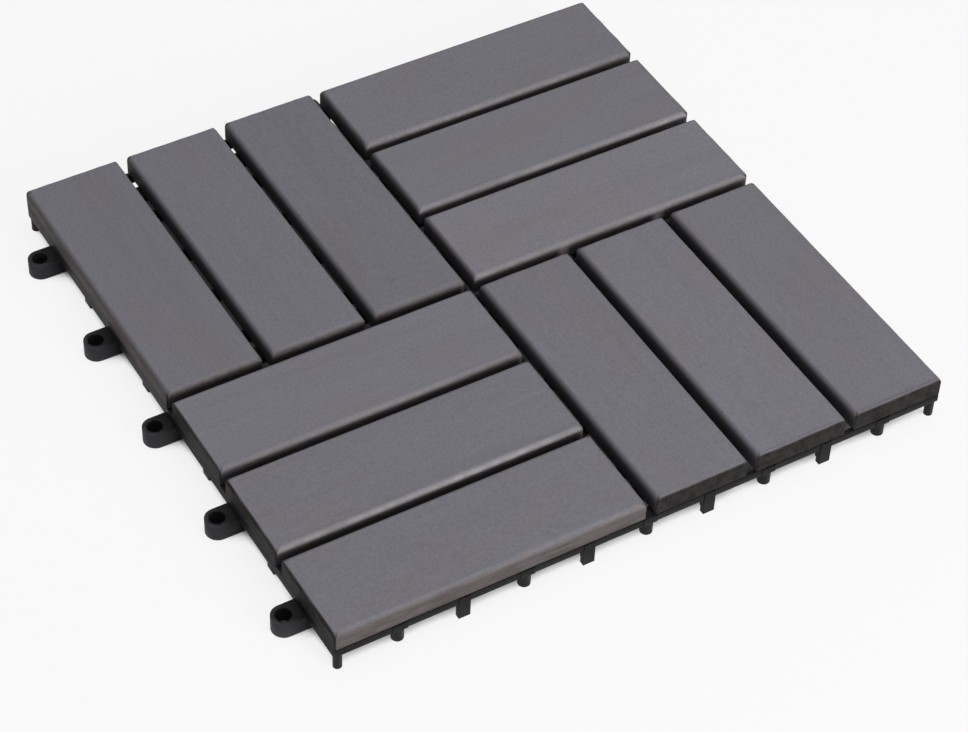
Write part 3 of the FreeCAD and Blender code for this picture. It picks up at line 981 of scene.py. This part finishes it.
@dataclass
class MouldedBase:
    """The base grid: the carried-over moulding with its sharp edges softened."""

    node: str = "base_grid"
    lip_radius: float = 0.7 * MM
    edge_share: float = 0.3
    bevel_segments: int = 2
    flat: float = math.radians(1)
    sharp: float = math.radians(38)
    lip_height: float = 8.0 * MM
    lip_reach: float = 148.5 * MM
    rim_height: float = 11.9 * MM
    rim_reach: float = 147.0 * MM
    loop_line: float = 155.0 * MM
    loop_pitch: float = 59.0 * MM
    loops: int = 5
    hole_reach: float = 3.7 * MM

    def round_edges(self, work: bmesh.types.BMesh) -> None:
        """Weigh each sharp edge for its rounding: 1 on the loops' lips and the rim, else less.

        Args:
            work: The moulding's mesh.
        """
        layer = work.edges.layers.float.new("bevel_weight_edge")
        for edge in work.edges:
            if edge.calc_face_angle(0.0) < self.sharp:
                continue
            middle = (edge.verts[0].co + edge.verts[1].co) / 2
            lip = max(-middle.x, middle.y) > self.lip_reach and middle.z > self.lip_height
            rim = max(abs(middle.x), abs(middle.y)) > self.rim_reach and middle.z > self.rim_height
            edge[layer] = 1.0 if lip or rim else self.edge_share

    def paint_loops(self, mesh: bpy.types.Mesh) -> None:
        """Mark the loops, but not the walls of their holes, to be lighter from scuffs and painted
        light.

        Args:
            mesh: The moulding's mesh.
        """
        points = np.empty(3 * len(mesh.vertices))
        mesh.vertices.foreach_get("co", points)
        x, y, _ = points.reshape(-1, 3).T
        outward, along = np.maximum(-x, y), np.where(-x > y, y, x)
        centres = self.loop_pitch * (np.arange(self.loops) - self.loops // 2)
        nearest = np.abs(along[:, None] - centres).min(axis=1)
        clear = np.hypot(outward - self.loop_line, nearest) > self.hole_reach
        paint_points(mesh, "wear_and_light", (outward > self.lip_reach) & clear)

    def build(self) -> bpy.types.Object:
        """Copy the moulding, merge its points and round its edges.

        Returns:
            The finished piece.
        """
        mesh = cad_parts[self.node].data.copy()
        work = bmesh.new()
        work.from_mesh(mesh)
        bmesh.ops.remove_doubles(work, verts=work.verts, dist=MERGED_WITHIN)
        bmesh.ops.dissolve_limit(
            work, angle_limit=self.flat, verts=work.verts, edges=work.edges
        )
        self.round_edges(work)
        work.to_mesh(mesh)
        work.free()
        self.paint_loops(mesh)
        smooth(mesh)
        piece = place_piece("base_moulding", mesh, MouldedPlastic().material("black_moulding"))
        bevel = piece.modifiers.new("soft_edges", "BEVEL")
        bevel.width = self.lip_radius
        bevel.segments = self.bevel_segments
        bevel.limit_method = "WEIGHT"
        bevel.harden_normals = True
        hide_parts(self.node)
        return piece


@dataclass
class ScrewSet:
    """The pan-head screws in the underside, with a cross recess in each head."""

    node: str = "screws"
    pitch: float = 50 * MM
    near: float = 14.75 * MM
    far: float = 132.75 * MM
    head_radius: float = 3.0 * MM
    head_height: float = 1.8 * MM
    head_fall: float = 0.45
    brim_radii: tuple[float, ...] = (1.0, 0.98)
    brim_levels: tuple[float, ...] = (-0.15, 0.0)
    shank_radius: float = 1.3 * MM
    shank_length: float = 9.5 * MM
    shank_radii: tuple[float, ...] = (1.0, 1.0, 0.4, 0.0)
    shank_levels: tuple[float, ...] = (0.0, 0.85, 0.98, 1.0)
    recess_half: float = 0.45 * MM
    recess_reach: float = 1.7 * MM
    recess_depth: float = 1.1 * MM
    recess_slope: float = 0.25 * MM
    around: int = 72
    dome_rings: int = 19
    spin_seed: int = 5

    def one(self) -> tuple[np.ndarray, np.ndarray]:
        """One screw, point up, as a turned profile with a cross pressed into its head.

        A ring of radius r at height z has the points (r cos a, r sin a, z). The head's rings lie
        at -height * (1 - fall * share ** 4). Inside the cross, where one coordinate is small and
        the other is within reach, the head is pressed in.

        Returns:
            Its points, with the underside of the head's seat at height nought, and its faces.
        """
        turn = np.linspace(0.0, 2 * math.pi, self.around, endpoint=False)
        dome = np.linspace(0.0, 1.0, self.dome_rings)
        radius = np.concatenate([
            self.head_radius * dome,
            self.head_radius * np.array(self.brim_radii),
            self.shank_radius * np.array(self.shank_radii),
        ])
        height = np.concatenate([
            -self.head_height * (1 - self.head_fall * dome**4),
            self.head_height * np.array(self.brim_levels),
            self.shank_length * np.array(self.shank_levels),
        ])
        r, a = np.meshgrid(radius, turn, indexing="ij")
        x, y = r * np.cos(a), r * np.sin(a)
        slim = np.minimum(np.abs(x), np.abs(y))
        wide = np.maximum(np.abs(x), np.abs(y))
        inside = np.clip((self.recess_half - slim) / self.recess_slope + 0.5, 0, 1)
        inside *= np.clip((self.recess_reach - wide) / self.recess_slope + 0.5, 0, 1)
        on_head = (np.arange(len(radius)) < self.dome_rings)[:, None]
        z = height[:, None] + on_head * inside * self.recess_depth
        points = np.stack([x, y, z], axis=-1).reshape(-1, 3)
        return points, ring_faces(len(radius), self.around)

    def places(self, seat: float) -> np.ndarray:
        """Where the screws stand: two in each slat, turned a quarter from quadrant to quadrant.

        A quarter turn takes (x, y) to (-y, x).

        Args:
            seat: The height of the seats under the heads.

        Returns:
            Rows of x, y and z.
        """
        places = []
        for c, s in ((1, 0), (0, 1), (-1, 0), (0, -1)):
            for slat in range(SLATS_PER_QUADRANT):
                for row in (self.near, self.far):
                    x, y = -(slat + 0.5) * self.pitch, row
                    places.append((c * x - s * y, s * x + c * y, seat))
        return np.array(places)

    def build(self) -> bpy.types.Object:
        """Set the screws into the slats, each turned to a chance angle, as screws end up.

        Returns:
            The finished piece.
        """
        low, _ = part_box(self.node)
        places = self.places(low[2] + self.head_height)
        points, faces = self.one()
        spin = np.random.default_rng(self.spin_seed).uniform(0, QUARTER, len(places))
        c, s = np.cos(spin)[:, None], np.sin(spin)[:, None]
        x = points[:, 0] * c - points[:, 1] * s
        y = points[:, 0] * s + points[:, 1] * c
        z = np.broadcast_to(points[:, 2], x.shape)
        everywhere = np.stack([x, y, z], axis=-1) + places[:, None, :]
        offsets = (np.arange(len(places)) * len(points))[:, None, None]
        mesh = node_mesh(
            "screw_heads", everywhere.reshape(-1, 3), (faces + offsets).reshape(-1, 4)
        )
        close_seams(mesh)
        smooth(mesh)
        piece = place_piece("pan_head_screws", mesh, DullZinc().material("dull_zinc"))
        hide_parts(self.node)
        return piece


@dataclass
class Softbox:
    """A square lamp that gives an even light."""

    name: str
    place: Triple
    size: float
    watts: float
    aim: Triple = (0.0, 0.0, 0.01)

    def build(self) -> None:
        """Hang the lamp and point it at the tile."""
        lamp = bpy.data.lights.new(self.name, "AREA")
        lamp.size = self.size
        lamp.energy = self.watts
        holder = bpy.data.objects.new(self.name, lamp)
        holder.location = self.place
        toward = Vector(self.aim) - Vector(self.place)
        holder.rotation_euler = toward.to_track_quat("-Z", "Y").to_euler()
        bpy.context.scene.collection.objects.link(holder)


@dataclass
class Studio:
    """A pale floor, an even sky and soft lamps."""

    floor_half: float = 3.0
    sky_light: float = 0.31
    sky_seen: Colour = (0.93, 0.93, 0.935)
    lamps: tuple[Softbox, ...] = (
        Softbox("front_softbox", place=(0.4, -1.8, 0.75), size=0.9, watts=32.0),
        Softbox("top_softbox", place=(0.1, -0.1, 2.2), size=1.5, watts=20.0),
    )

    def lay_floor(self) -> None:
        """Lay the floor, a square about the tile's middle."""
        corners = np.array([[-1, -1, 0], [1, -1, 0], [1, 1, 0], [-1, 1, 0]]) * self.floor_half
        mesh = node_mesh("floor", corners, np.array([[0, 1, 2, 3]]))
        mesh.materials.append(PalePaper().material("pale_paper"))
        floor = bpy.data.objects.new("floor", mesh)
        bpy.context.scene.collection.objects.link(floor)

    def set_sky(self) -> None:
        """Set a sky that lights the tile evenly and shows as a pale background."""
        world = bpy.data.worlds.new("even_sky")
        bpy.context.scene.world = world
        world.use_nodes = True
        tree = world.node_tree
        tree.nodes.clear()
        light = tree.nodes.new("ShaderNodeBackground")
        light.inputs["Strength"].default_value = self.sky_light
        seen = tree.nodes.new("ShaderNodeBackground")
        seen.inputs["Color"].default_value = (*self.sky_seen, 1.0)
        blend = tree.nodes.new("ShaderNodeMixShader")
        output = tree.nodes.new("ShaderNodeOutputWorld")
        tree.links.new(background_rays(tree), blend.inputs["Fac"])
        tree.links.new(light.outputs[0], blend.inputs[1])
        tree.links.new(seen.outputs[0], blend.inputs[2])
        tree.links.new(blend.outputs[0], output.inputs["Surface"])

    def build(self) -> None:
        """Lay the floor, set the sky and hang the lamps."""
        self.lay_floor()
        self.set_sky()
        for lamp in self.lamps:
            lamp.build()


@dataclass
class PhotoCamera:
    """The camera at the photograph's viewing angle, with its angles in degrees."""

    azimuth: float = -32.0663
    elevation: float = 45.2713
    roll: float = 2.5515
    distance: float = 1.23484
    target: Triple = (-0.021472, -0.047185, 0.022)
    focal_length: float = 107.363
    sensor_width: float = 36.0

    def build(self) -> None:
        """Set the camera up: it looks back along (sin a cos e, -cos a cos e, sin e)."""
        a, e = math.radians(self.azimuth), math.radians(self.elevation)
        back = Vector((math.sin(a) * math.cos(e), -math.cos(a) * math.cos(e), math.sin(e)))
        data = bpy.data.cameras.new("photo_camera")
        data.lens = self.focal_length
        data.sensor_width = self.sensor_width
        level = back.to_track_quat("Z", "Y").to_matrix().to_4x4()
        aimed = level @ Matrix.Rotation(math.radians(self.roll), 4, "Z")
        aimed.translation = Vector(self.target) + back * self.distance
        camera = bpy.data.objects.new("photo_camera", data)
        camera.matrix_world = aimed
        bpy.context.scene.collection.objects.link(camera)
        bpy.context.scene.camera = camera


def main() -> None:
    """Build the tile's pieces in order, then the studio around them."""
    logging.basicConfig(level=logging.INFO, format="%(message)s")
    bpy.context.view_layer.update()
    bpy.context.scene.view_settings.view_transform = "Standard"

    parts: list[MouldedBase | ScrewSet | TimberSlat] = [MouldedBase(), ScrewSet()]
    for q, quadrant in enumerate(Quadrant):
        words, lie = quadrant.value
        for place in range(SLATS_PER_QUADRANT):
            seed = SLATS_PER_QUADRANT * q + place
            node = f"{words}_slat_{place + 1}"
            parts.append(TimberSlat(node, lie, seed, SHADES[seed], WEARS_AND_HIGHLIGHTS[seed]))
    for part in parts:
        piece = part.build()
        log.info("%s: %d faces", piece.name, len(piece.data.polygons))

    Studio().build()
    PhotoCamera().build()


if __name__ == "__main__":
    main()
